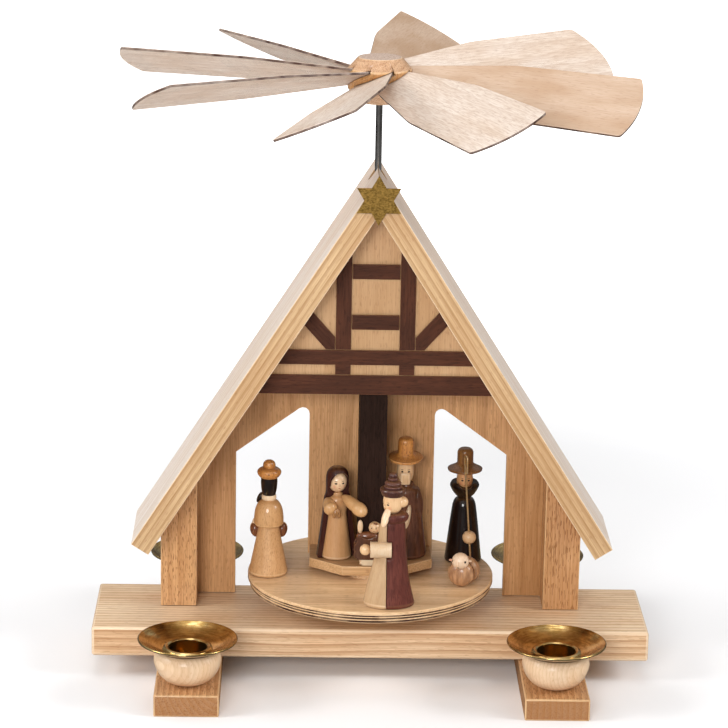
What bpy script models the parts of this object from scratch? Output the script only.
"""Candle carousel: a gabled nativity house whose procession is turned by candle heat.

Four candles stand on two cross feet. Their warm air turns a propeller of eight plywood blades, and its
steel shaft carries a turntable with three figures and a sheep round a fixed podium.

Axes: +X to the right, +Y to the rear, +Z up. The origin is on the shaft's axis at the standing surface.
"""

import math

import bmesh
import bpy
from mathutils import Vector

MM = 0.001

# Clearances
GAP = 0.3 * MM
OVERRUN = 2.0 * MM
MERGE_DISTANCE = 0.01 * MM
WELD_DISTANCE = 0.001 * MM

# How finely round pieces are divided
LARGE_STEPS = 56
ROUND_STEPS = 24
FIGURE_STEPS = 18
ARC_STEPS = 4

# Cross feet
FOOT_LENGTH = 155.4 * MM
FOOT_WIDTH = 28.8 * MM
FOOT_HEIGHT = 10.0 * MM
FOOT_EDGE = 0.5 * MM

# Base board
BOARD_LENGTH = 253.0 * MM
BOARD_DEPTH = 60.0 * MM
BOARD_THICKNESS = 13.8 * MM
BOARD_EDGE = 1.2 * MM
BOARD_BOTTOM = FOOT_HEIGHT + GAP
BOARD_TOP = BOARD_BOTTOM + BOARD_THICKNESS
FOOT_INSET = 44.7 * MM
FOOT_SPREAD = BOARD_LENGTH - 2 * FOOT_INSET

# Roof
ROOF_PITCH = math.radians(57.4)
ROOF_APEX_RISE = 208.7 * MM
ROOF_APEX = BOARD_TOP + ROOF_APEX_RISE
ROOF_HALF_SPAN = 108.8 * MM
ROOF_THICKNESS = 9.3 * MM
ROOF_FRONT = 27.0 * MM
ROOF_HOLE_RADIUS = 4.15 * MM

# Rear wall with its two open windows
WALL_FRONT = 17.9 * MM
WALL_THICKNESS = 3.5 * MM
WALL_HALF_WIDTH = 96.5 * MM
WINDOW_INNER = 28.9 * MM
WINDOW_OUTER = 62.6 * MM
WINDOW_LOW_HEAD = 69.1 * MM
WINDOW_HIGH_HEAD = 93.8 * MM
WINDOW_ROUNDING = 3.0 * MM
WALL_BACK = WALL_FRONT + WALL_THICKNESS

# Posts
POST_WIDTH = 16.5 * MM
POST_FRONT = 0.9 * MM

# Gable plate and its half timbering
GABLE_FRONT = 8.5 * MM
GABLE_THICKNESS = 3.5 * MM
GABLE_BOTTOM_RISE = 105.1 * MM
GABLE_BOTTOM = BOARD_TOP + GABLE_BOTTOM_RISE
TIMBER_THICKNESS = 0.8 * MM
BOTTOM_RAIL_HEIGHT = 9.0 * MM
RAIL_SPACING = 4.8 * MM
MIDDLE_RAIL_HEIGHT = 6.8 * MM
TIE_HEIGHT = 6.8 * MM
LOWER_TIE_RISE = 9.6 * MM
UPPER_TIE_RISE = 32.9 * MM
STUD_WIDTH = 6.9 * MM
STUD_SPACING = 28.7 * MM
BRACE_ANGLE = math.radians(48.5)
BRACE_FOOT = 4.0 * MM
BRACE_SHOULDER = 5.8 * MM

# Shaft, its column, upper bush and lower pivot
SHAFT_RADIUS = 1.5 * MM
SHAFT_POINT = 2.0 * MM
COLUMN_WIDTH = 12.6 * MM
COLUMN_FRONT = 4.7 * MM
COLUMN_TOP_RISE = 176.0 * MM
COLUMN_TOP = BOARD_TOP + COLUMN_TOP_RISE
COLUMN_BORE_RADIUS = 3.0 * MM
BUSH_LENGTH = 8.0 * MM
BUSH_FLANGE_RADIUS = 4.2 * MM
BUSH_FLANGE_THICKNESS = 1.0 * MM
PIVOT_RADIUS = 4.0 * MM
PIVOT_DEPTH = 6.0 * MM
PIVOT_DIMPLE = 2.4 * MM

# Turntable and podium
TABLE_RADIUS = 56.4 * MM
TABLE_TOP_RISE = 17.8 * MM
TABLE_TOP = BOARD_TOP + TABLE_TOP_RISE
TABLE_THICKNESS = 5.3 * MM
TABLE_STEP = 0.9 * MM
TABLE_BOSS_RADIUS = 12.0 * MM
TABLE_BOSS_HEIGHT = 1.8 * MM
TABLE_COLLAR_RADIUS = 8.0 * MM
TABLE_COLLAR_HEIGHT = 8.5 * MM
PODIUM_THICKNESS = 4.4 * MM
PODIUM_RUNNING_GAP = 0.7 * MM
PODIUM_HALF_WIDTH = 28.2 * MM
PODIUM_SIDE_FRONT = 1.8 * MM
PODIUM_FRONT = 13.9 * MM
PODIUM_FRONT_HALF = 13.1 * MM
PODIUM_BOTTOM = TABLE_TOP + TABLE_BOSS_HEIGHT + PODIUM_RUNNING_GAP
PODIUM_TOP = PODIUM_BOTTOM + PODIUM_THICKNESS

# Propeller
HUB_CENTRE = 272.6 * MM
HUB_RADIUS = 14.2 * MM
HUB_TOP_RADIUS = 9.7 * MM
HUB_BOTTOM_RADIUS = 8.0 * MM
HUB_ABOVE = 8.9 * MM
HUB_BELOW = 11.4 * MM
HUB_BAND_ABOVE = 3.8 * MM
HUB_BAND_BELOW = 5.2 * MM
HUB_BORE_ABOVE = 2.5 * MM
BLADE_COUNT = 8
BLADE_FIRST_AZIMUTH = 29.6
BLADE_PITCH = 25.2
BLADE_REACH = 118.3 * MM
BLADE_THICKNESS = 1.2 * MM
BLADE_ROOT_AT = 8.2 * MM
BLADE_ROOT_HALF = 8.5 * MM
BLADE_BEND_AT = 57.7 * MM
BLADE_BEND_HALF = 17.65 * MM
BLADE_BEND_ROUNDING = 45.0 * MM
BLADE_TIP_HALF = 19.0 * MM
BLADE_TIP_ARC = 45.7 * MM
BLADE_CORNER_ROUNDING = 2.0 * MM

# Each blade was glued into its slot by hand: extra turn, pitch and droop in degrees, from the first blade on
BLADE_HAND_SETTING = (
    (-3.2, -2.6, 2.4),
    (-4.2, 5.6, 2.7),
    (0.5, 0.1, -1.2),
    (1.0, 2.3, -1.3),
    (1.6, 0.3, 1.2),
    (1.4, -0.7, -0.7),
    (1.2, -1.1, 0.1),
    (0.6, -2.0, 0.7),
)

# Star on the ridge
STAR_RADIUS = 11.2 * MM
STAR_THICKNESS = 0.7 * MM
STAR_RISE = 198.4 * MM
STAR_HEIGHT = BOARD_TOP + STAR_RISE
STAR_POINTS = 6

# Candle cups and brass drip trays
CANDLE_SPREAD = 121.4 * MM
CUP_RADIUS = 14.9 * MM
CUP_FOOT_RADIUS = 6.8 * MM
CUP_HEIGHT = 15.2 * MM
CUP_FLOOR = 2.4 * MM
CUP_LIP = 1.0 * MM
SOCKET_RADIUS = 8.6 * MM
SOCKET_DEPTH = 12.6 * MM
BRASS_THICKNESS = 0.5 * MM
SOCKET_ROLL = 2.3 * MM
SOCKET_ROLL_HEIGHT = 1.5 * MM
DISH_RADIUS = 22.2 * MM
DISH_RISE = 4.8 * MM
DISH_RIM = 0.8 * MM

# Figures: places on the table and podium, measured from the shaft's axis
LEFT_KING_PLACE = (-47.0 * MM, -3.3 * MM)
FRONT_KING_PLACE = (7.4 * MM, -44.6 * MM)
SHEPHERD_PLACE = (43.5 * MM, 18.6 * MM)
SHEEP_PLACE = (40.7 * MM, -19.8 * MM)
MARY_PLACE = (-15.8 * MM, 0.8 * MM)
JOSEPH_PLACE = (16.3 * MM, 5.0 * MM)
CRIB_PLACE = (-1.8 * MM, -9.4 * MM)

# Left king
LEFT_KING_RADIUS = 9.0 * MM
LEFT_KING_ROBE_HEIGHT = 37.3 * MM
LEFT_KING_HEAD_RADIUS = 3.8 * MM
LEFT_KING_HEAD_HEIGHT = 7.8 * MM
LEFT_KING_HAT_RADIUS = 5.5 * MM
LEFT_KING_HAT_HEIGHT = 8.2 * MM
LEFT_KING_HAND_RADIUS = 2.7 * MM
LEFT_KING_HAND_HEIGHT = 19.4 * MM

# Front king
FRONT_KING_RADIUS = 11.7 * MM
FRONT_KING_SLIMNESS = 0.72
FRONT_KING_SPLIT = 1.4 * MM
FRONT_KING_ROBE_HEIGHT = 42.6 * MM
FRONT_KING_HEAD_RADIUS = 3.9 * MM
FRONT_KING_HEAD_HEIGHT = 7.9 * MM
FRONT_KING_HEAD_OFFSET = 0.9 * MM
FRONT_KING_HAT_RADIUS = 5.4 * MM
FRONT_KING_HAT_HEIGHT = 10.4 * MM
FRONT_KING_BUN_RADIUS = 2.8 * MM
FRONT_KING_SLEEVE_RADIUS = 3.6 * MM
FRONT_KING_SLEEVE_START = 0.6 * MM
FRONT_KING_SLEEVE_LENGTH = 9.4 * MM
FRONT_KING_SLEEVE_HEIGHT = 26.7 * MM
FRONT_KING_SLEEVE_FORWARD = 4.2 * MM
FRONT_KING_HAND_RADIUS = 2.5 * MM
FRONT_KING_HAND_REACH = 2.2 * MM
FRONT_KING_BEARD_LENGTH = 4.6 * MM
FRONT_KING_BEARD_WIDTH = 1.9 * MM
FRONT_KING_BEARD_THICKNESS = 1.3 * MM
FRONT_KING_BEARD_REACH = 5.1 * MM
FRONT_KING_BEARD_DROP = 1.0 * MM
FRONT_KING_BEARD_HEADING = math.radians(53.0)
FRONT_KING_BEARD_LEAN = math.radians(28.0)

# Shepherd and sheep
SHEPHERD_RADIUS = 8.9 * MM
SHEPHERD_COAT_HEIGHT = 38.2 * MM
SHEPHERD_HEAD_RADIUS = 3.85 * MM
SHEPHERD_HEAD_HEIGHT = 8.2 * MM
SHEPHERD_HAT_RADIUS = 8.1 * MM
SHEPHERD_HAT_HEIGHT = 11.6 * MM
SHEPHERD_HAND_RADIUS = 3.2 * MM
SHEPHERD_HAND_HEIGHT = 13.8 * MM
SHEPHERD_HAND_ASIDE = 2.2 * MM
SHEPHERD_NOTCH_RADII = (3.7 * MM, 3.0 * MM, 3.0 * MM)
SHEPHERD_NOTCH_PLACE = (0.3 * MM, -6.0 * MM, 38.7 * MM)
STAFF_RADIUS = 0.45 * MM
STAFF_HEIGHT = 53.3 * MM
STAFF_HOOK_DROP = 6.8 * MM
STAFF_HOOK_RADIUS = 1.2 * MM
STAFF_LEAN = math.radians(4.5)
STAFF_HOOK_TURN = math.radians(60.0)
SHEEP_BODY_RADIUS = 6.1 * MM
SHEEP_HALF_THICKNESS = 4.6 * MM
SHEEP_LENGTH = 6.8 * MM
SHEEP_HEAD_RADIUS = 3.9 * MM
SHEEP_HEAD_LIFT = 6.7 * MM
SHEEP_TURN = math.radians(-21.0)

# Mary
MARY_RADIUS = 7.2 * MM
MARY_BODY_HEIGHT = 40.9 * MM
MARY_CLOAK_RADIUS = 9.4 * MM
MARY_CLOAK_HEIGHT = 43.2 * MM
MARY_CLOAK_OPENING = 1.6 * MM
MARY_TURN = math.radians(14.0)
MARY_TEMPLE_HEIGHT = 34.5 * MM
MARY_HAIR_ARCH_RADII = (4.3 * MM, 4.8 * MM, 5.9 * MM)
MARY_HAIR_ARCH_PLACE = (0.7 * MM, -5.0 * MM, 34.9 * MM)
MARY_HAIR_ARCH_LEAN = math.radians(10.0)
MARY_SLEEVE_RADIUS = 2.9 * MM
MARY_HANDS_RADII = (1.9 * MM, 1.5 * MM, 2.4 * MM)
MARY_HANDS_PLACE = (-2.6 * MM, -9.2 * MM, 23.7 * MM)

# Each of Mary's sleeves: its middle, half its length, its heading and its droop in degrees
MARY_SLEEVES = (
    ("right", (5.4 * MM, -10.3 * MM, 27.2 * MM), 8.6 * MM, -65.0, 16.0),
    ("left", (-4.9 * MM, -5.0 * MM, 26.0 * MM), 5.2 * MM, -89.0, 20.0),
)

# Joseph
JOSEPH_RADIUS = 9.6 * MM
JOSEPH_COAT_HEIGHT = 34.6 * MM
JOSEPH_HEAD_RADIUS = 3.9 * MM
JOSEPH_HEAD_HEIGHT = 9.2 * MM
JOSEPH_HAT_RADIUS = 8.0 * MM
JOSEPH_HEAD_OFFSET = 1.0 * MM
JOSEPH_NOD = math.radians(6.5)
JOSEPH_HAT_HEIGHT = 12.6 * MM
JOSEPH_SLEEVE_RADIUS = 2.6 * MM
JOSEPH_SLEEVE_LENGTH = 8.3 * MM
JOSEPH_SLEEVE_HEIGHT = 23.5 * MM
JOSEPH_SLEEVE_ASIDE = 4.8 * MM
JOSEPH_BEARD_WIDTH = 2.4 * MM
JOSEPH_BEARD_THICKNESS = 1.45 * MM
JOSEPH_BEARD_LENGTH = 3.1 * MM
JOSEPH_BEARD_FORWARD = 3.1 * MM
JOSEPH_BEARD_HEIGHT = 3.3 * MM

# Crib and child
CRIB_LENGTH = 12.6 * MM
CRIB_WIDTH = 8.0 * MM
CRIB_HEIGHT = 14.6 * MM
CRIB_FLOOR_BOTTOM = 6.0 * MM
CRIB_FLOOR_TOP = 8.8 * MM
CRIB_WALL = 1.2 * MM
CHILD_LENGTH = 5.2 * MM
CHILD_RADIUS = 2.2 * MM
CHILD_SINK = 1.6 * MM
CHILD_HEAD_RADIUS = 2.8 * MM
CHILD_HEAD_ALONG = 3.2 * MM
CHILD_HEAD_LIFT = 2.6 * MM
CHILD_ARM_RADIUS = 1.3 * MM
CHILD_ARM_LENGTH = 3.2 * MM
CHILD_ARM_ALONG = 3.4 * MM
CHILD_ARM_LIFT = 2.9 * MM

# Turned outlines, each a (radius, height) share of the piece's own radius and height, from its top down
LEFT_KING_ROBE_SHARES = (
    (0.0, 1.0), (0.36, 1.0), (0.385, 0.966), (0.32, 0.945), (0.54, 0.9), (0.69, 0.82), (0.75, 0.715),
    (0.745, 0.635), (0.69, 0.617), (0.5, 0.612), (0.99, 0.028), (0.955, 0.0), (0.0, 0.0),
)
LEFT_KING_HEAD_SHARES = ((0.0, 1.0), (0.97, 1.0), (1.0, 0.72), (0.92, 0.3), (0.78, 0.0), (0.0, 0.0))
LEFT_KING_HAT_SHARES = (
    (0.0, 1.0), (0.27, 0.97), (0.46, 0.86), (0.53, 0.7), (0.48, 0.56), (0.8, 0.5), (1.0, 0.35),
    (0.95, 0.17), (0.72, 0.0), (0.0, 0.0),
)
FRONT_KING_ROBE_SHARES = (
    (0.0, 1.0), (0.2, 1.0), (0.24, 0.93), (0.36, 0.86), (0.395, 0.74), (0.48, 0.6), (0.6, 0.5),
    (0.84, 0.22), (0.98, 0.03), (0.95, 0.0), (0.0, 0.0),
)
FRONT_KING_CLOAK_SHARES = (
    (0.0, 1.0), (0.28, 1.0), (0.31, 0.98), (0.56, 0.98), (0.65, 0.965), (0.62, 0.94), (0.53, 0.915),
    (0.565, 0.88), (0.59, 0.8), (0.61, 0.685), (0.7, 0.41), (0.81, 0.22), (0.98, 0.03), (0.95, 0.0),
    (0.0, 0.0),
)
FRONT_KING_HEAD_SHARES = (
    (0.0, 1.0), (0.93, 1.0), (1.0, 0.6), (0.86, 0.22), (0.5, 0.0), (0.0, 0.0),
)
FRONT_KING_HAT_SHARES = (
    (0.0, 1.0), (0.24, 0.975), (0.39, 0.87), (0.4, 0.76), (0.3, 0.64), (0.52, 0.6), (0.61, 0.54),
    (0.6, 0.3), (0.97, 0.3), (1.0, 0.25), (0.86, 0.03), (0.8, 0.0), (0.0, 0.0),
)
SHEPHERD_COAT_SHARES = (
    (0.0, 0.885), (0.22, 0.892), (0.5, 0.955), (0.66, 1.0), (0.75, 0.965), (0.74, 0.93), (0.55, 0.85),
    (0.3, 0.79), (0.44, 0.782), (0.525, 0.757), (0.6, 0.71), (0.65, 0.634), (0.72, 0.51),
    (0.97, 0.024), (0.94, 0.0), (0.0, 0.0),
)
CAPPED_HEAD_SHARES = (
    (0.0, 1.0), (0.9, 1.0), (1.0, 0.55), (0.88, 0.22), (0.5, 0.03), (0.0, 0.0),
)
SHEPHERD_HAT_SHARES = (
    (0.0, 1.0), (0.34, 0.97), (0.45, 0.86), (0.46, 0.4), (0.6, 0.3), (1.0, 0.16), (0.98, 0.08),
    (0.55, 0.0), (0.0, 0.0),
)
MARY_BODY_SHARES = (
    (0.0, 1.0), (0.336, 0.984), (0.55, 0.934), (0.611, 0.878), (0.538, 0.817), (0.306, 0.772),
    (0.3, 0.75), (0.36, 0.731), (0.6, 0.697), (0.66, 0.637), (0.64, 0.546), (0.66, 0.455), (0.985, 0.023),
    (0.95, 0.0), (0.0, 0.0),
)
MARY_CLOAK_SHARES = (
    (0.0, 1.0), (0.28, 0.99), (0.48, 0.95), (0.56, 0.88), (0.565, 0.73), (0.66, 0.64), (0.74, 0.45),
    (0.985, 0.02), (0.96, 0.0), (0.0, 0.0),
)
JOSEPH_COAT_SHARES = (
    (0.0, 1.0), (0.3, 1.0), (0.34, 0.965), (0.58, 0.92), (0.66, 0.84), (0.7, 0.66), (0.98, 0.03),
    (0.95, 0.0), (0.0, 0.0),
)
JOSEPH_HAT_SHARES = (
    (0.0, 1.0), (0.3, 0.97), (0.43, 0.88), (0.45, 0.36), (0.62, 0.3), (1.0, 0.24), (0.98, 0.15),
    (0.5, 0.0), (0.0, 0.0),
)

# Right half of the crib's fret-sawn side, from its foot up to the middle of its hollow upper edge
CRIB_SIDE_SHARES = (
    (0.41, 0.0), (0.43, 0.18), (0.66, 0.2), (0.93, 0.26), (1.0, 0.36), (0.9, 0.46), (0.98, 0.56),
    (0.97, 0.64), (0.84, 0.72), (0.74, 0.8), (0.73, 1.0), (0.5, 0.945), (0.25, 0.89), (0.0, 0.87),
)

# Outside of a candle cup, each point a share of its radius and height
CUP_OUTSIDE_SHARES = ((0.93, 0.93), (1.0, 0.78), (0.99, 0.6), (0.88, 0.33), (0.68, 0.11))


def empty_scene():
    """Remove every object of the scene this script is opened in."""
    for obj in list(bpy.data.objects):
        bpy.data.objects.remove(obj, do_unlink=True)


def make_collection(name):
    """Return a new collection linked to the scene."""
    collection = bpy.data.collections.new(name)
    bpy.context.scene.collection.children.link(collection)
    return collection


def make_material(name, color, roughness, metallic=0.0):
    """Return a Principled material of one plain colour."""
    material = bpy.data.materials.new(name)
    material.use_nodes = True
    shader = material.node_tree.nodes["Principled BSDF"]
    shader.inputs["Base Color"].default_value = (*color, 1.0)
    shader.inputs["Roughness"].default_value = roughness
    shader.inputs["Metallic"].default_value = metallic
    return material


def add_object(name, data, collection, material=None):
    """Add an object of the given data to a collection."""
    obj = bpy.data.objects.new(name, data)
    collection.objects.link(obj)
    if material:
        data.materials.append(material)
    return obj


def add_empty(name, location, parent=None, turn=0.0):
    """Add an empty that carries other pieces; turn is about +Z."""
    empty = bpy.data.objects.new(name, None)
    PARTS.objects.link(empty)
    empty.parent = parent
    empty.location = location
    empty.rotation_euler[2] = turn
    return empty


def mesh_from(build, name):
    """Return a mesh filled by build(bm)."""
    bm = bmesh.new()
    build(bm)
    mesh = bpy.data.meshes.new(name)
    bm.to_mesh(mesh)
    bm.free()
    return mesh


def box_mesh(name, size, centre):
    """Return a closed box mesh."""
    def build(bm):
        bmesh.ops.create_cube(bm, size=1.0)
        bmesh.ops.scale(bm, vec=size, verts=bm.verts)
        bmesh.ops.translate(bm, vec=centre, verts=bm.verts)
    return mesh_from(build, name)


def rod_mesh(name, radius, low, high, steps):
    """Return a closed cylinder mesh along Z from low to high."""
    def build(bm):
        bmesh.ops.create_cone(
            bm, cap_ends=True, segments=steps, radius1=radius, radius2=radius, depth=high - low)
        bmesh.ops.translate(bm, vec=(0.0, 0.0, (low + high) / 2), verts=bm.verts)
    return mesh_from(build, name)


def ball_mesh(name, radii, steps):
    """Return a closed ellipsoid mesh with the three given radii."""
    def build(bm):
        bmesh.ops.create_uvsphere(bm, u_segments=steps, v_segments=steps // 2, radius=1.0)
        bmesh.ops.scale(bm, vec=radii, verts=bm.verts)
    mesh = mesh_from(build, name)
    mesh.shade_smooth()
    return mesh


def add_box(name, size, centre, material, edge=0.0, parent=None):
    """Add a box piece, its edges rounded by edge."""
    obj = add_object(name, box_mesh(name, size, (0.0, 0.0, 0.0)), PARTS, material)
    obj.location = centre
    obj.parent = parent
    if edge:
        bevel = obj.modifiers.new("edge", "BEVEL")
        bevel.width = edge
        bevel.segments = 2
    return obj


def scaled_outline(shares, radius, height, grow=0.0):
    """Return (radius, height) points of a turned outline, grown outward and upward for a cutter."""
    points = []
    for radius_share, height_share in shares:
        wide = radius * radius_share + (grow if radius_share else 0.0)
        points.append((wide, height * height_share + (grow if height_share else -grow)))
    return points


def turned_object(name, outline, collection, material, steps, closed_ring=False):
    """Add a turned piece from an outline that runs down its outer side."""
    def build(bm):
        verts = [bm.verts.new((radius, 0.0, height)) for radius, height in outline]
        pairs = list(zip(verts, verts[1:]))
        if closed_ring:
            pairs.append((verts[-1], verts[0]))
        for start, end in pairs:
            bm.edges.new((start, end))
    obj = add_object(name, mesh_from(build, name), collection, material)
    screw = obj.modifiers.new("turned", "SCREW")
    screw.steps = steps
    screw.render_steps = steps
    screw.use_merge_vertices = True
    screw.merge_threshold = MERGE_DISTANCE
    screw.use_smooth_shade = True
    return obj


def add_turned(name, outline, location, material, steps=ROUND_STEPS, parent=None, closed_ring=False):
    """Add a turned piece of the model at its place."""
    obj = turned_object(name, outline, PARTS, material, steps, closed_ring)
    obj.location = location
    obj.parent = parent
    return obj


def rounded_outline(points):
    """Return an outline whose corners (x, y, radius) are replaced by arcs where radius is set."""
    result = []
    count = len(points)
    for index, (x, y, radius) in enumerate(points):
        corner = Vector((x, y))
        if not radius:
            result.append(corner)
            continue
        before = Vector(points[index - 1][:2]) - corner
        after = Vector(points[(index + 1) % count][:2]) - corner
        half = before.angle(after) / 2
        reach = radius / math.tan(half)
        start = corner + before.normalized() * reach
        end = corner + after.normalized() * reach
        middle = corner + (before.normalized() + after.normalized()).normalized() * radius / math.sin(half)
        first = start - middle
        sweep = first.angle_signed(end - middle)
        for step in range(ARC_STEPS + 1):
            turn = -sweep * step / ARC_STEPS
            arm = Vector((
                first.x * math.cos(turn) - first.y * math.sin(turn),
                first.x * math.sin(turn) + first.y * math.cos(turn),
            ))
            result.append(middle + arm)
    return result


def outline_object(name, points, thickness, collection, material=None):
    """Return a mesh object cut from sheet: a filled flat outline of the given thickness round Z = 0."""
    curve = bpy.data.curves.new(name, "CURVE")
    curve.dimensions = "2D"
    curve.fill_mode = "BOTH"
    curve.extrude = thickness / 2
    spline = curve.splines.new("POLY")
    spline.points.add(len(points) - 1)
    for spline_point, point in zip(spline.points, points):
        spline_point.co = (point[0], point[1], 0.0, 1.0)
    spline.use_cyclic_u = True
    source = add_object(name + "_outline", curve, CUTTERS)
    bpy.context.view_layer.update()
    mesh = bpy.data.meshes.new_from_object(source.evaluated_get(bpy.context.evaluated_depsgraph_get()))
    bpy.data.objects.remove(source, do_unlink=True)
    bm = bmesh.new()
    bm.from_mesh(mesh)
    bmesh.ops.remove_doubles(bm, verts=bm.verts, dist=WELD_DISTANCE)
    bm.to_mesh(mesh)
    bm.free()
    mesh.name = name
    return add_object(name, mesh, collection, material)


def add_upright(name, points, front, thickness, material):
    """Add a sheet piece standing in the XZ plane; front is its distance in front of the shaft."""
    obj = outline_object(name, points, thickness, PARTS, material)
    obj.rotation_euler[0] = math.radians(90.0)
    obj.location[1] = thickness / 2 - front
    return obj


def hide_cutter(obj):
    """Mark an object as a guide that is not part of the model."""
    obj.hide_render = True
    obj.display_type = "WIRE"
    return obj


def add_cutter(name, mesh, location=(0.0, 0.0, 0.0), parent=None, rotation=(0.0, 0.0, 0.0)):
    """Add a cutter from a closed mesh."""
    obj = hide_cutter(add_object(name, mesh, CUTTERS))
    obj.parent = parent
    obj.location = location
    obj.rotation_euler = rotation
    return obj


def combine(obj, cutter, operation="DIFFERENCE"):
    """Cut obj by, or join it with, another closed mesh."""
    modifier = obj.modifiers.new(cutter.name, "BOOLEAN")
    modifier.operation = operation
    modifier.solver = "EXACT"
    modifier.object = cutter


def mirrored(points):
    """Return an outline's points mirrored in X, in the reversed order that keeps their turn."""
    return [(-point[0], *point[1:]) for point in reversed(points)]


def roof_underside(x, clearance=GAP):
    """Return the height of the roof boards' underside, less a clearance square to it."""
    drop = (ROOF_THICKNESS + clearance) / math.cos(ROOF_PITCH)
    return ROOF_APEX - drop - abs(x) * math.tan(ROOF_PITCH)


def roof_underside_x(z, clearance=GAP):
    """Return how far from the middle the roof's underside is at a height."""
    return (roof_underside(0.0, clearance) - z) / math.tan(ROOF_PITCH)


def build_base():
    """Base board on two cross feet, with the pocket for the lower pivot."""
    for side, sign in (("left", -1), ("right", 1)):
        add_box(
            "cross_foot_" + side, (FOOT_WIDTH, FOOT_LENGTH, FOOT_HEIGHT),
            (sign * FOOT_SPREAD / 2, 0.0, FOOT_HEIGHT / 2), BEECH, FOOT_EDGE)
    board = add_box(
        "base_board", (BOARD_LENGTH, BOARD_DEPTH, BOARD_THICKNESS),
        (0.0, 0.0, BOARD_BOTTOM + BOARD_THICKNESS / 2), PINE, BOARD_EDGE)
    pocket = rod_mesh(
        "pivot_pocket", PIVOT_RADIUS + GAP, BOARD_TOP - PIVOT_DEPTH - GAP, BOARD_TOP + OVERRUN, ROUND_STEPS)
    combine(board, add_cutter("pivot_pocket", pocket))


def build_walls():
    """Two posts and the rear wall with its windows, all trimmed to the roof's pitch."""
    foot = BOARD_TOP + GAP
    inner = WALL_HALF_WIDTH - POST_WIDTH
    post = [
        (inner, foot), (WALL_HALF_WIDTH, foot), (WALL_HALF_WIDTH, roof_underside(WALL_HALF_WIDTH)),
        (inner, roof_underside(inner)),
    ]
    depth = POST_FRONT + WALL_FRONT - GAP
    add_upright("post_right", post, POST_FRONT, depth, BEECH)
    add_upright("post_left", mirrored(post), POST_FRONT, depth, BEECH)
    low_head = BOARD_TOP + WINDOW_LOW_HEAD
    high_head = BOARD_TOP + WINDOW_HIGH_HEAD
    half = [
        (0.0, roof_underside(0.0), 0.0),
        (-WALL_HALF_WIDTH, roof_underside(WALL_HALF_WIDTH), 0.0),
        (-WALL_HALF_WIDTH, foot, 0.0),
        (-WINDOW_OUTER, foot, 0.0),
        (-WINDOW_OUTER, low_head, 0.0),
        (-WINDOW_INNER, high_head, WINDOW_ROUNDING),
        (-WINDOW_INNER, PODIUM_BOTTOM, 0.0),
    ]
    outline = rounded_outline(half + mirrored(half)[:-1])
    add_upright("rear_wall", outline, -WALL_FRONT, WALL_THICKNESS, BIRCH)


def build_roof():
    """Two roof boards mitred at the ridge, with the shaft's hole half in each, and the brass star."""
    eave = Vector((ROOF_HALF_SPAN, ROOF_APEX - ROOF_HALF_SPAN * math.tan(ROOF_PITCH)))
    inward = Vector((-math.sin(ROOF_PITCH), -math.cos(ROOF_PITCH))) * ROOF_THICKNESS
    mitre = GAP / 2
    slope = math.tan(ROOF_PITCH)
    board = [
        (mitre, ROOF_APEX - mitre * slope), (mitre, roof_underside(mitre, 0.0)),
        tuple(eave + inward), tuple(eave),
    ]
    depth = ROOF_FRONT + WALL_BACK
    hole = rod_mesh(
        "ridge_hole", ROOF_HOLE_RADIUS, roof_underside(ROOF_HOLE_RADIUS) - OVERRUN, ROOF_APEX + OVERRUN,
        ROUND_STEPS)
    cutter = add_cutter("ridge_hole", hole)
    combine(add_upright("roof_board_right", board, ROOF_FRONT, depth, PINE), cutter)
    combine(add_upright("roof_board_left", mirrored(board), ROOF_FRONT, depth, PINE), cutter)
    star = []
    for index in range(2 * STAR_POINTS):
        reach = STAR_RADIUS if index % 2 == 0 else STAR_RADIUS / math.sqrt(3.0)
        angle = math.radians(90.0) + math.pi * index / STAR_POINTS
        star.append((reach * math.cos(angle), STAR_HEIGHT + reach * math.sin(angle)))
    add_upright("star", star, ROOF_FRONT + GAP + STAR_THICKNESS, STAR_THICKNESS, BRASS)


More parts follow.
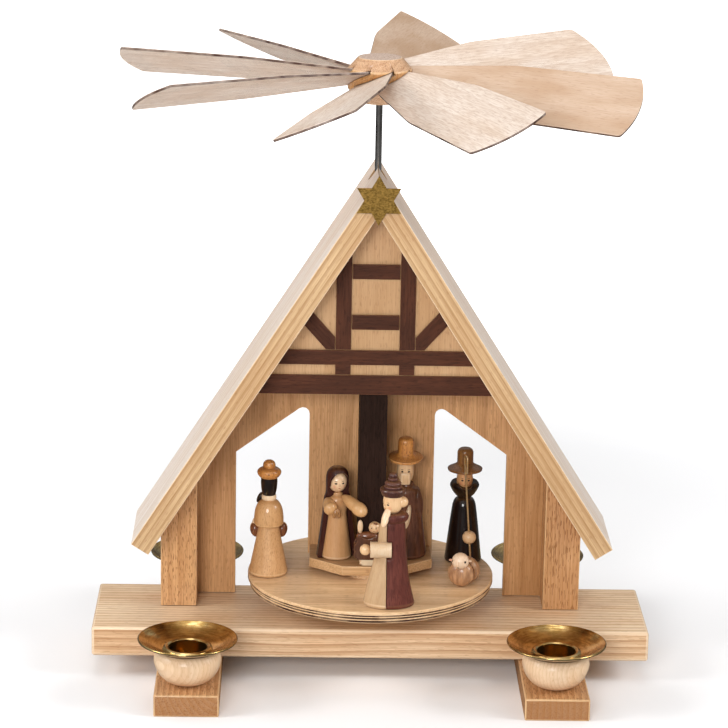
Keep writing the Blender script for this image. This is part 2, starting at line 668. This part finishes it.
def build_gable():
    """Gable plate in front of the shaft, with eight stained timbers glued on its face."""
    def half_width(z):
        return roof_underside_x(z)
    plate = [
        (0.0, roof_underside(0.0)), (-half_width(GABLE_BOTTOM), GABLE_BOTTOM),
        (half_width(GABLE_BOTTOM), GABLE_BOTTOM),
    ]
    add_upright("gable_plate", plate, GABLE_FRONT, GABLE_THICKNESS, BIRCH)
    front = GABLE_FRONT + GAP + TIMBER_THICKNESS

    def timber(name, points):
        add_upright(name, points, front, TIMBER_THICKNESS, WALNUT)

    bottom_rail_top = GABLE_BOTTOM + BOTTOM_RAIL_HEIGHT
    timber("timber_bottom_rail", [
        (-half_width(GABLE_BOTTOM), GABLE_BOTTOM), (half_width(GABLE_BOTTOM), GABLE_BOTTOM),
        (half_width(bottom_rail_top), bottom_rail_top), (-half_width(bottom_rail_top), bottom_rail_top)])
    middle = bottom_rail_top + RAIL_SPACING
    rail_top = middle + MIDDLE_RAIL_HEIGHT
    stud_in = (STUD_SPACING - STUD_WIDTH) / 2
    stud_out = stud_in + STUD_WIDTH
    # The middle rail carries the studs on downward to the bottom rail
    stub = bottom_rail_top + GAP
    rail_right = [
        (stud_in, middle), (stud_in, stub), (stud_out, stub), (stud_out, middle),
        (half_width(middle), middle), (half_width(rail_top), rail_top)]
    timber("timber_middle_rail", rail_right + mirrored(rail_right))
    stud_foot = rail_top + GAP
    stud = [(stud_in, stud_foot), (stud_out, stud_foot), (stud_out, roof_underside(stud_out)),
            (stud_in, roof_underside(stud_in))]
    timber("timber_stud_right", stud)
    timber("timber_stud_left", mirrored(stud))
    tie_half = stud_in - GAP
    for name, low in (("timber_lower_tie", rail_top + LOWER_TIE_RISE),
                      ("timber_upper_tie", rail_top + UPPER_TIE_RISE)):
        timber(name, [(-tie_half, low), (tie_half, low), (tie_half, low + TIE_HEIGHT),
                      (-tie_half, low + TIE_HEIGHT)])

    def reach_roof(x, z):
        """Follow the brace's direction from a point to the roof."""
        rise = math.tan(BRACE_ANGLE)
        far = (roof_underside(0.0) - z + x * rise) / (rise + math.tan(ROOF_PITCH))
        return far, z + (far - x) * rise

    shoulder = stud_out + GAP
    brace = [
        (shoulder, stud_foot), (shoulder + BRACE_FOOT, stud_foot), reach_roof(shoulder + BRACE_FOOT, stud_foot),
        reach_roof(shoulder, stud_foot + BRACE_SHOULDER), (shoulder, stud_foot + BRACE_SHOULDER),
    ]
    timber("timber_brace_right", brace)
    timber("timber_brace_left", mirrored(brace))


def build_bearing():
    """Podium, the dark column round the shaft, its upper bush and the lower pivot."""
    rear = WALL_FRONT - GAP
    podium = outline_object("podium", [
        (PODIUM_HALF_WIDTH, rear), (-PODIUM_HALF_WIDTH, rear), (-PODIUM_HALF_WIDTH, -PODIUM_SIDE_FRONT),
        (-PODIUM_FRONT_HALF, -PODIUM_FRONT), (PODIUM_FRONT_HALF, -PODIUM_FRONT),
        (PODIUM_HALF_WIDTH, -PODIUM_SIDE_FRONT),
    ], PODIUM_THICKNESS, PARTS, BIRCH)
    podium.location[2] = (PODIUM_BOTTOM + PODIUM_TOP) / 2
    bore = rod_mesh(
        "shaft_bore", COLUMN_BORE_RADIUS, PODIUM_BOTTOM - OVERRUN, COLUMN_TOP + OVERRUN, ROUND_STEPS)
    cutter = add_cutter("shaft_bore", bore)
    combine(podium, cutter)
    depth = COLUMN_FRONT + rear
    foot = PODIUM_TOP + GAP
    column = add_box(
        "shaft_column", (COLUMN_WIDTH, depth, COLUMN_TOP - foot),
        (0.0, depth / 2 - COLUMN_FRONT, (COLUMN_TOP + foot) / 2), DARK)
    combine(column, cutter)
    inner = SHAFT_RADIUS + GAP
    outer = COLUMN_BORE_RADIUS - GAP
    seat = COLUMN_TOP + GAP
    top = seat + BUSH_FLANGE_THICKNESS
    add_turned("guide_bush", [
        (inner, top), (BUSH_FLANGE_RADIUS, top), (BUSH_FLANGE_RADIUS, seat), (outer, seat),
        (outer, seat - BUSH_LENGTH), (inner, seat - BUSH_LENGTH),
    ], (0.0, 0.0, 0.0), BRASS, closed_ring=True)
    add_turned("pivot_cup", [
        (0.0, PIVOT_DEPTH - PIVOT_DIMPLE), (PIVOT_DIMPLE, PIVOT_DEPTH), (PIVOT_RADIUS, PIVOT_DEPTH),
        (PIVOT_RADIUS, 0.0), (0.0, 0.0),
    ], (0.0, 0.0, BOARD_TOP - PIVOT_DEPTH), BRASS)


def build_rotor():
    """Steel shaft and plywood turntable with its boss and collar."""
    tip = BOARD_TOP - PIVOT_DIMPLE + GAP
    top = HUB_CENTRE + HUB_BORE_ABOVE - GAP
    add_turned("shaft", [
        (0.0, top), (SHAFT_RADIUS / 2, top), (SHAFT_RADIUS, top - SHAFT_RADIUS),
        (SHAFT_RADIUS, tip + SHAFT_POINT), (0.0, tip),
    ], (0.0, 0.0, 0.0), STEEL, FIGURE_STEPS, ROTOR)
    bore = SHAFT_RADIUS + GAP
    under = TABLE_TOP - TABLE_THICKNESS
    boss = TABLE_TOP + TABLE_BOSS_HEIGHT
    collar = under - TABLE_COLLAR_HEIGHT
    middle = TABLE_TOP - TABLE_THICKNESS / 2
    add_turned("turntable", [
        (bore, boss), (TABLE_BOSS_RADIUS, boss), (TABLE_BOSS_RADIUS, TABLE_TOP), (TABLE_RADIUS, TABLE_TOP),
        (TABLE_RADIUS, middle), (TABLE_RADIUS - TABLE_STEP, middle - TABLE_STEP),
        (TABLE_RADIUS - TABLE_STEP, under), (TABLE_COLLAR_RADIUS, under), (TABLE_COLLAR_RADIUS, collar),
        (bore, collar),
    ], (0.0, 0.0, 0.0), BIRCH, LARGE_STEPS, ROTOR, closed_ring=True)


def blade_outline():
    """Return a blade's outline: narrow root, soft bends and a rounded tip; X runs outward."""
    centre = BLADE_REACH - BLADE_TIP_ARC
    corner = math.asin(BLADE_TIP_HALF / BLADE_TIP_ARC)
    tip = []
    for step in range(1, 2 * ARC_STEPS):
        angle = corner * (step / ARC_STEPS - 1)
        tip.append((centre + BLADE_TIP_ARC * math.cos(angle), BLADE_TIP_ARC * math.sin(angle), 0.0))
    corner_at = centre + BLADE_TIP_ARC * math.cos(corner)
    return rounded_outline([
        (BLADE_ROOT_AT, -BLADE_ROOT_HALF, 0.0),
        (BLADE_BEND_AT, -BLADE_BEND_HALF, BLADE_BEND_ROUNDING),
        (corner_at, -BLADE_TIP_HALF, BLADE_CORNER_ROUNDING),
        *tip,
        (corner_at, BLADE_TIP_HALF, BLADE_CORNER_ROUNDING),
        (BLADE_BEND_AT, BLADE_BEND_HALF, BLADE_BEND_ROUNDING),
        (BLADE_ROOT_AT, BLADE_ROOT_HALF, 0.0),
    ])


def build_propeller():
    """Turned hub with slanted slots and a blade in each."""
    rings = [
        (0.0, HUB_ABOVE), (HUB_TOP_RADIUS, HUB_ABOVE), (HUB_RADIUS, HUB_BAND_ABOVE),
        (HUB_RADIUS, -HUB_BAND_BELOW), (HUB_BOTTOM_RADIUS, -HUB_BELOW), (0.0, -HUB_BELOW),
    ]
    hub = add_turned("propeller_hub", rings, (0.0, 0.0, 0.0), BEECH, 2 * FIGURE_STEPS, PROPELLER)
    bore = rod_mesh("hub_bore", SHAFT_RADIUS + GAP, -HUB_BELOW - OVERRUN, HUB_BORE_ABOVE, FIGURE_STEPS)
    combine(hub, add_cutter("hub_bore", bore, parent=PROPELLER))
    flare = (BLADE_BEND_HALF - BLADE_ROOT_HALF) / (BLADE_BEND_AT - BLADE_ROOT_AT)
    slot_half = BLADE_ROOT_HALF + flare * (HUB_RADIUS - BLADE_ROOT_AT) + GAP
    slot_start = BLADE_ROOT_AT - GAP
    slot_end = HUB_RADIUS + OVERRUN
    outline = blade_outline()
    for index, (turn, pitch, droop) in enumerate(BLADE_HAND_SETTING[:BLADE_COUNT]):
        azimuth = BLADE_FIRST_AZIMUTH - 90.0 + 360.0 * index / BLADE_COUNT + turn
        rotation = [math.radians(angle) for angle in (BLADE_PITCH + pitch, droop, azimuth)]
        blade = outline_object(f"blade_{index + 1}", outline, BLADE_THICKNESS, PARTS, PLYWOOD)
        blade.parent = PROPELLER
        blade.rotation_euler = rotation
        slot = box_mesh(
            "slot", (slot_end - slot_start, 2 * slot_half, BLADE_THICKNESS + 2 * GAP),
            ((slot_start + slot_end) / 2, 0.0, 0.0))
        combine(hub, add_cutter(f"slot_{index + 1}", slot, parent=PROPELLER, rotation=rotation))


def build_candle(name, x, y):
    """One wooden candle cup and its removable brass tray with the candle socket."""
    seat = FOOT_HEIGHT + GAP
    bore = SOCKET_RADIUS + BRASS_THICKNESS + GAP
    cup = [(0.0, CUP_FLOOR), (bore, CUP_FLOOR), (bore, CUP_HEIGHT),
           (CUP_RADIUS - CUP_LIP - CUP_LIP, CUP_HEIGHT)]
    cup += [(CUP_RADIUS * wide, CUP_HEIGHT * high) for wide, high in CUP_OUTSIDE_SHARES]
    cup += [(CUP_FOOT_RADIUS, 0.0), (0.0, 0.0)]
    add_turned("candle_cup_" + name, cup, (x, y, seat), MAPLE)
    wall = SOCKET_RADIUS + BRASS_THICKNESS
    roll = SOCKET_RADIUS + SOCKET_ROLL
    low = CUP_HEIGHT + GAP
    floor = low - SOCKET_DEPTH
    edge = low + BRASS_THICKNESS + DISH_RISE
    bead = low + SOCKET_ROLL_HEIGHT
    tray = [
        (0.0, floor + BRASS_THICKNESS), (SOCKET_RADIUS, floor + BRASS_THICKNESS),
        (SOCKET_RADIUS, bead - BRASS_THICKNESS), ((SOCKET_RADIUS + roll) / 2, bead),
        (roll, bead - BRASS_THICKNESS), (roll, low + BRASS_THICKNESS),
        (DISH_RADIUS - DISH_RIM, edge), (DISH_RADIUS, edge), (DISH_RADIUS, edge - DISH_RIM),
        (roll, low), (wall, low), (wall, floor), (0.0, floor),
    ]
    add_turned("drip_tray_" + name, tray, (x, y, seat), BRASS)


def build_candles():
    """Four candle holders, one near each end of the cross feet."""
    for row, front in (("front", -1), ("rear", 1)):
        for side, sign in (("left", -1), ("right", 1)):
            build_candle(f"{row}_{side}", sign * FOOT_SPREAD / 2, front * CANDLE_SPREAD / 2)


def add_figure_piece(name, shares, radius, height, base, figure, material):
    """Add one turned piece of a figure and return it with the height where the next piece sits."""
    piece = add_turned(
        name, scaled_outline(shares, radius, height), (0.0, 0.0, base), material, FIGURE_STEPS, figure)
    return piece, base + height + GAP


def join_ball(piece, name, radii, place, figure, rotation=(0.0, 0.0, 0.0)):
    """Join an ellipsoid, such as a hand or a sleeve, to a figure's piece."""
    steps = FIGURE_STEPS - 4
    cutter = add_cutter(name, ball_mesh(name, radii, steps), place, figure, rotation)
    combine(piece, cutter, "UNION")


def build_left_king():
    """King with a round cape, seen from behind on the left of the table."""
    figure = add_empty("left_king_place", (*LEFT_KING_PLACE, TABLE_TOP + GAP), ROTOR)
    robe, top = add_figure_piece(
        "king_left_robe", LEFT_KING_ROBE_SHARES, LEFT_KING_RADIUS, LEFT_KING_ROBE_HEIGHT, 0.0, figure, BEECH)
    hand = LEFT_KING_HAND_RADIUS
    for side, sign in (("left", -1), ("right", 1)):
        place = (sign * (LEFT_KING_RADIUS - hand - GAP), hand, LEFT_KING_HAND_HEIGHT)
        join_ball(robe, "king_left_hand_" + side, (hand, hand, hand), place, figure)
    _, top = add_figure_piece(
        "king_left_head", LEFT_KING_HEAD_SHARES, LEFT_KING_HEAD_RADIUS, LEFT_KING_HEAD_HEIGHT, top, figure,
        BLACK)
    add_figure_piece(
        "king_left_hat", LEFT_KING_HAT_SHARES, LEFT_KING_HAT_RADIUS, LEFT_KING_HAT_HEIGHT, top, figure, HONEY)


def build_front_king():
    """King in profile at the front: pale robe in front, burgundy cloak behind, one sleeve held forward."""
    figure = add_empty("front_king_place", (*FRONT_KING_PLACE, TABLE_TOP + GAP), ROTOR)
    robe, top = add_figure_piece(
        "king_front_robe", FRONT_KING_ROBE_SHARES, FRONT_KING_RADIUS, FRONT_KING_ROBE_HEIGHT, 0.0, figure,
        MAPLE)
    cloak, _ = add_figure_piece(
        "king_front_cloak", FRONT_KING_CLOAK_SHARES, FRONT_KING_RADIUS, FRONT_KING_ROBE_HEIGHT, 0.0, figure,
        BURGUNDY)
    reach = 2 * FRONT_KING_RADIUS
    tall = FRONT_KING_ROBE_HEIGHT + 2 * OVERRUN
    for piece, sign in ((robe, 1), (cloak, -1)):
        piece.scale[1] = FRONT_KING_SLIMNESS
        size = (reach, reach, tall)
        centre = (sign * (reach - GAP) / 2 - FRONT_KING_SPLIT, 0.0, FRONT_KING_ROBE_HEIGHT / 2)
        name = piece.name + "_other_half"
        combine(piece, add_cutter(name, box_mesh(name, size, centre), parent=figure))
    sleeve_z = FRONT_KING_SLEEVE_HEIGHT
    sleeve_y = -FRONT_KING_SLEEVE_FORWARD
    thick = FRONT_KING_SLEEVE_RADIUS
    long = FRONT_KING_SLEEVE_LENGTH
    sleeve = rod_mesh("sleeve", thick, 0.0, long, FIGURE_STEPS)
    start = (FRONT_KING_SLEEVE_START, sleeve_y, sleeve_z)
    turn = (0.0, math.radians(-90.0), 0.0)
    combine(robe, add_cutter("king_front_sleeve", sleeve, start, figure, turn), "UNION")
    space = rod_mesh("king_front_sleeve_space", thick + GAP, -GAP, long + GAP, FIGURE_STEPS)
    combine(cloak, add_cutter("king_front_sleeve_space", space, start, figure, turn))
    hand = FRONT_KING_HAND_RADIUS
    hand_x = FRONT_KING_SLEEVE_START - long - FRONT_KING_HAND_REACH
    join_ball(robe, "king_front_hand", (hand, hand, hand), (hand_x, sleeve_y, sleeve_z), figure)
    neck = add_empty("king_front_neck", (FRONT_KING_HEAD_OFFSET, 0.0, top), figure)
    head, hat_base = add_figure_piece(
        "king_front_head", FRONT_KING_HEAD_SHARES, FRONT_KING_HEAD_RADIUS, FRONT_KING_HEAD_HEIGHT, 0.0, neck,
        MAPLE)
    bun = FRONT_KING_BUN_RADIUS
    bun_place = (FRONT_KING_HEAD_RADIUS, 0.0, FRONT_KING_HEAD_HEIGHT - bun)
    join_ball(head, "king_front_bun", (bun, bun, bun - GAP), bun_place, neck)
    heading = FRONT_KING_BEARD_HEADING
    beard_place = (
        -FRONT_KING_BEARD_REACH * math.cos(heading), -FRONT_KING_BEARD_REACH * math.sin(heading),
        -FRONT_KING_BEARD_DROP)
    radii = (FRONT_KING_BEARD_THICKNESS, FRONT_KING_BEARD_WIDTH, FRONT_KING_BEARD_LENGTH)
    turn = (0.0, FRONT_KING_BEARD_LEAN, heading)
    join_ball(head, "king_front_beard", radii, beard_place, neck, turn)
    space = ball_mesh("king_front_beard_space", [radius + GAP for radius in radii], FIGURE_STEPS)
    combine(cloak, add_cutter("king_front_beard_space", space, beard_place, neck, turn))
    add_figure_piece(
        "king_front_hat", FRONT_KING_HAT_SHARES, FRONT_KING_HAT_RADIUS, FRONT_KING_HAT_HEIGHT, hat_base, neck,
        WALNUT)


def build_shepherd():
    """Shepherd in a black coat with a flared collar, wide hat and a crook of brass wire."""
    figure = add_empty("shepherd_place", (*SHEPHERD_PLACE, TABLE_TOP + GAP), ROTOR)
    coat, _ = add_figure_piece(
        "shepherd_coat", SHEPHERD_COAT_SHARES, SHEPHERD_RADIUS, SHEPHERD_COAT_HEIGHT, 0.0, figure, BLACK)
    notch = ball_mesh("collar_notch", SHEPHERD_NOTCH_RADII, FIGURE_STEPS)
    combine(coat, add_cutter("collar_notch", notch, SHEPHERD_NOTCH_PLACE, figure))
    hand = SHEPHERD_HAND_RADIUS
    hand_place = (SHEPHERD_HAND_ASIDE, -SHEPHERD_RADIUS - 2 * STAFF_RADIUS, SHEPHERD_HAND_HEIGHT)
    join_ball(coat, "shepherd_hand", (hand, hand, hand), hand_place, figure)
    hole = rod_mesh("staff_hole", STAFF_RADIUS + GAP, -hand - OVERRUN, hand + OVERRUN, FIGURE_STEPS)
    combine(coat, add_cutter("staff_hole", hole, hand_place, figure, (0.0, -STAFF_LEAN, 0.0)))
    seat = SHEPHERD_COAT_HEIGHT * SHEPHERD_COAT_SHARES[0][1] + GAP
    _, top = add_figure_piece(
        "shepherd_head", CAPPED_HEAD_SHARES, SHEPHERD_HEAD_RADIUS, SHEPHERD_HEAD_HEIGHT, seat, figure, MAPLE)
    add_figure_piece(
        "shepherd_hat", SHEPHERD_HAT_SHARES, SHEPHERD_HAT_RADIUS, SHEPHERD_HAT_HEIGHT, top, figure, WALNUT)
    build_staff(figure, hand_place)


def build_staff(figure, hand_place):
    """Wire crook standing on the table and leaning through the shepherd's hand, its hook turned down."""
    x, y, z = hand_place
    lean = math.tan(STAFF_LEAN)
    bend = STAFF_HEIGHT - STAFF_HOOK_RADIUS
    top_x = x - (bend - z) * lean
    along = math.cos(STAFF_HOOK_TURN)
    across = -math.sin(STAFF_HOOK_TURN)
    points = [(x + z * lean, y, 0.0), (top_x, y, bend)]
    for step in range(1, 2 * ARC_STEPS + 1):
        angle = math.pi * step / (2 * ARC_STEPS)
        reach = STAFF_HOOK_RADIUS * (1 - math.cos(angle))
        points.append((
            top_x + reach * along, y + reach * across, bend + STAFF_HOOK_RADIUS * math.sin(angle)))
    points.append((points[-1][0], points[-1][1], bend - STAFF_HOOK_DROP))
    curve = bpy.data.curves.new("shepherd_staff", "CURVE")
    curve.dimensions = "3D"
    curve.bevel_depth = STAFF_RADIUS
    curve.bevel_resolution = 1
    curve.use_fill_caps = True
    spline = curve.splines.new("POLY")
    spline.points.add(len(points) - 1)
    for spline_point, point in zip(spline.points, points):
        spline_point.co = (*point, 1.0)
    staff = add_object("shepherd_staff", curve, PARTS, BRASS)
    staff.parent = figure


def build_sheep():
    """Sheep lying in front of the shepherd: two round halves and a round head."""
    base = SHEEP_BODY_RADIUS
    figure = add_empty("sheep_place", (*SHEEP_PLACE, TABLE_TOP + GAP), ROTOR, SHEEP_TURN)
    radii = (base, SHEEP_HALF_THICKNESS, base)
    body = add_object("sheep", ball_mesh("sheep", radii, FIGURE_STEPS), PARTS, MAPLE)
    body.parent = figure
    body.location[2] = base
    join_ball(body, "sheep_rear", radii, (0.0, SHEEP_LENGTH, base), figure)
    head = SHEEP_HEAD_RADIUS
    head_place = (0.0, 0.0, base + SHEEP_HEAD_LIFT)
    join_ball(body, "sheep_head", (head, head, head), head_place, figure)


def build_mary():
    """Mary: pale body with both sleeves, and a dark cloak that runs up into her hair."""
    figure = add_empty("mary_place", (*MARY_PLACE, PODIUM_TOP + GAP), turn=MARY_TURN)
    body, _ = add_figure_piece(
        "mary_body", MARY_BODY_SHARES, MARY_RADIUS, MARY_BODY_HEIGHT, 0.0, figure, MAPLE)
    cloak, _ = add_figure_piece(
        "mary_cloak", MARY_CLOAK_SHARES, MARY_CLOAK_RADIUS, MARY_CLOAK_HEIGHT, 0.0, figure, PLUM)
    outline = scaled_outline(MARY_BODY_SHARES, MARY_RADIUS, MARY_BODY_HEIGHT, GAP)
    space = hide_cutter(turned_object("body_space", outline, CUTTERS, None, FIGURE_STEPS))
    space.parent = figure
    combine(cloak, space)
    wide = 3 * MARY_CLOAK_RADIUS
    front = (0.0, -wide / 2 - MARY_CLOAK_OPENING, (MARY_TEMPLE_HEIGHT - OVERRUN) / 2)
    opening = box_mesh("cloak_opening", (wide, wide, MARY_TEMPLE_HEIGHT + OVERRUN), front)
    combine(cloak, add_cutter("cloak_opening", opening, parent=figure))
    arch = ball_mesh("hair_arch", MARY_HAIR_ARCH_RADII, FIGURE_STEPS)
    lean = (0.0, MARY_HAIR_ARCH_LEAN, 0.0)
    combine(cloak, add_cutter("hair_arch", arch, MARY_HAIR_ARCH_PLACE, figure, lean))
    thick = MARY_SLEEVE_RADIUS
    for side, place, long, heading, droop in MARY_SLEEVES:
        rotation = (0.0, math.radians(droop), math.radians(heading))
        join_ball(body, "mary_sleeve_" + side, (long, thick, thick), place, figure, rotation)
        space = ball_mesh("sleeve_space", (long + GAP, thick + GAP, thick + GAP), FIGURE_STEPS)
        combine(cloak, add_cutter("sleeve_space_" + side, space, place, figure, rotation))
    join_ball(body, "mary_hands", MARY_HANDS_RADII, MARY_HANDS_PLACE, figure)


def build_joseph():
    """Joseph: dark coat with a sleeve down his side, bearded head and a broad honey-coloured hat."""
    figure = add_empty("joseph_place", (*JOSEPH_PLACE, PODIUM_TOP + GAP))
    coat, top = add_figure_piece(
        "joseph_coat", JOSEPH_COAT_SHARES, JOSEPH_RADIUS, JOSEPH_COAT_HEIGHT, 0.0, figure, COAT_BROWN)
    thick = JOSEPH_SLEEVE_RADIUS
    sleeve_place = (JOSEPH_SLEEVE_ASIDE, -thick, JOSEPH_SLEEVE_HEIGHT)
    join_ball(coat, "joseph_sleeve", (thick, thick, JOSEPH_SLEEVE_LENGTH), sleeve_place, figure)
    neck = add_empty("joseph_neck", (-JOSEPH_HEAD_OFFSET, 0.0, top), figure)
    neck.rotation_euler[0] = JOSEPH_NOD
    head, hat_base = add_figure_piece(
        "joseph_head", CAPPED_HEAD_SHARES, JOSEPH_HEAD_RADIUS, JOSEPH_HEAD_HEIGHT, 0.0, neck, MAPLE)
    radii = (JOSEPH_BEARD_WIDTH, JOSEPH_BEARD_THICKNESS, JOSEPH_BEARD_LENGTH)
    join_ball(head, "joseph_beard", radii, (0.0, -JOSEPH_BEARD_FORWARD, JOSEPH_BEARD_HEIGHT), neck)
    add_figure_piece(
        "joseph_hat", JOSEPH_HAT_SHARES, JOSEPH_HAT_RADIUS, JOSEPH_HAT_HEIGHT, hat_base, neck, HONEY)


def build_crib():
    """Crib with two fret-sawn sides and a floor between them, and the child lying in it."""
    figure = add_empty("crib_place", (*CRIB_PLACE, PODIUM_TOP + GAP))
    top = CRIB_HEIGHT
    half = [(wide * CRIB_LENGTH / 2, high * top) for wide, high in CRIB_SIDE_SHARES]
    crib = outline_object("crib", half + mirrored(half[:-1]), CRIB_WIDTH, PARTS, WALNUT)
    crib.rotation_euler[0] = math.radians(90.0)
    crib.parent = figure
    between = CRIB_WIDTH - 2 * CRIB_WALL
    hollows = (("crib_under", -OVERRUN, CRIB_FLOOR_BOTTOM), ("crib_inside", CRIB_FLOOR_TOP, 2 * top))
    for name, low, high in hollows:
        space = box_mesh(name, (2 * CRIB_LENGTH, between, high - low), (0.0, 0.0, (low + high) / 2))
        combine(crib, add_cutter(name, space, parent=figure))
    thick = CHILD_RADIUS
    child = add_object(
        "child", ball_mesh("child", (CHILD_LENGTH, thick, thick), FIGURE_STEPS - 4), PARTS, MAPLE)
    child.parent = figure
    child.location[2] = top - CHILD_SINK
    head = CHILD_HEAD_RADIUS
    head_place = (CHILD_HEAD_ALONG, 0.0, top + CHILD_HEAD_LIFT)
    join_ball(child, "child_head", (head, head, head), head_place, figure)
    arm = CHILD_ARM_RADIUS
    arm_place = (-CHILD_ARM_ALONG, 0.0, top + CHILD_ARM_LIFT)
    join_ball(child, "child_arm", (arm, arm, CHILD_ARM_LENGTH), arm_place, figure)


empty_scene()
PARTS = make_collection("candle_carousel")
CUTTERS = make_collection("cutters")

PINE = make_material("pine", (0.72, 0.47, 0.24), 0.5)
BEECH = make_material("beech", (0.60, 0.37, 0.19), 0.5)
BIRCH = make_material("birch", (0.58, 0.38, 0.20), 0.5)
MAPLE = make_material("maple", (0.72, 0.50, 0.30), 0.4)
PLYWOOD = make_material("plywood", (0.62, 0.44, 0.30), 0.55)
HONEY = make_material("honey_stain", (0.45, 0.20, 0.05), 0.35)
WALNUT = make_material("walnut_stain", (0.07, 0.03, 0.02), 0.4)
COAT_BROWN = make_material("coat_brown", (0.05, 0.022, 0.014), 0.35)
DARK = make_material("dark_stain", (0.02, 0.012, 0.008), 0.5)
BLACK = make_material("black_stain", (0.012, 0.008, 0.006), 0.3)
BURGUNDY = make_material("burgundy_stain", (0.06, 0.015, 0.012), 0.4)
PLUM = make_material("plum_stain", (0.03, 0.008, 0.010), 0.35)
BRASS = make_material("aged_brass", (0.36, 0.27, 0.09), 0.35, 1.0)
STEEL = make_material("steel", (0.42, 0.42, 0.42), 0.3, 1.0)

ROTOR = add_empty("rotor_axis", (0.0, 0.0, 0.0))
PROPELLER = add_empty("propeller_axis", (0.0, 0.0, HUB_CENTRE), ROTOR)

build_base()
build_walls()
build_roof()
build_gable()
build_bearing()
build_rotor()
build_propeller()
build_candles()
build_left_king()
build_front_king()
build_shepherd()
build_sheep()
build_mary()
build_joseph()
build_crib()
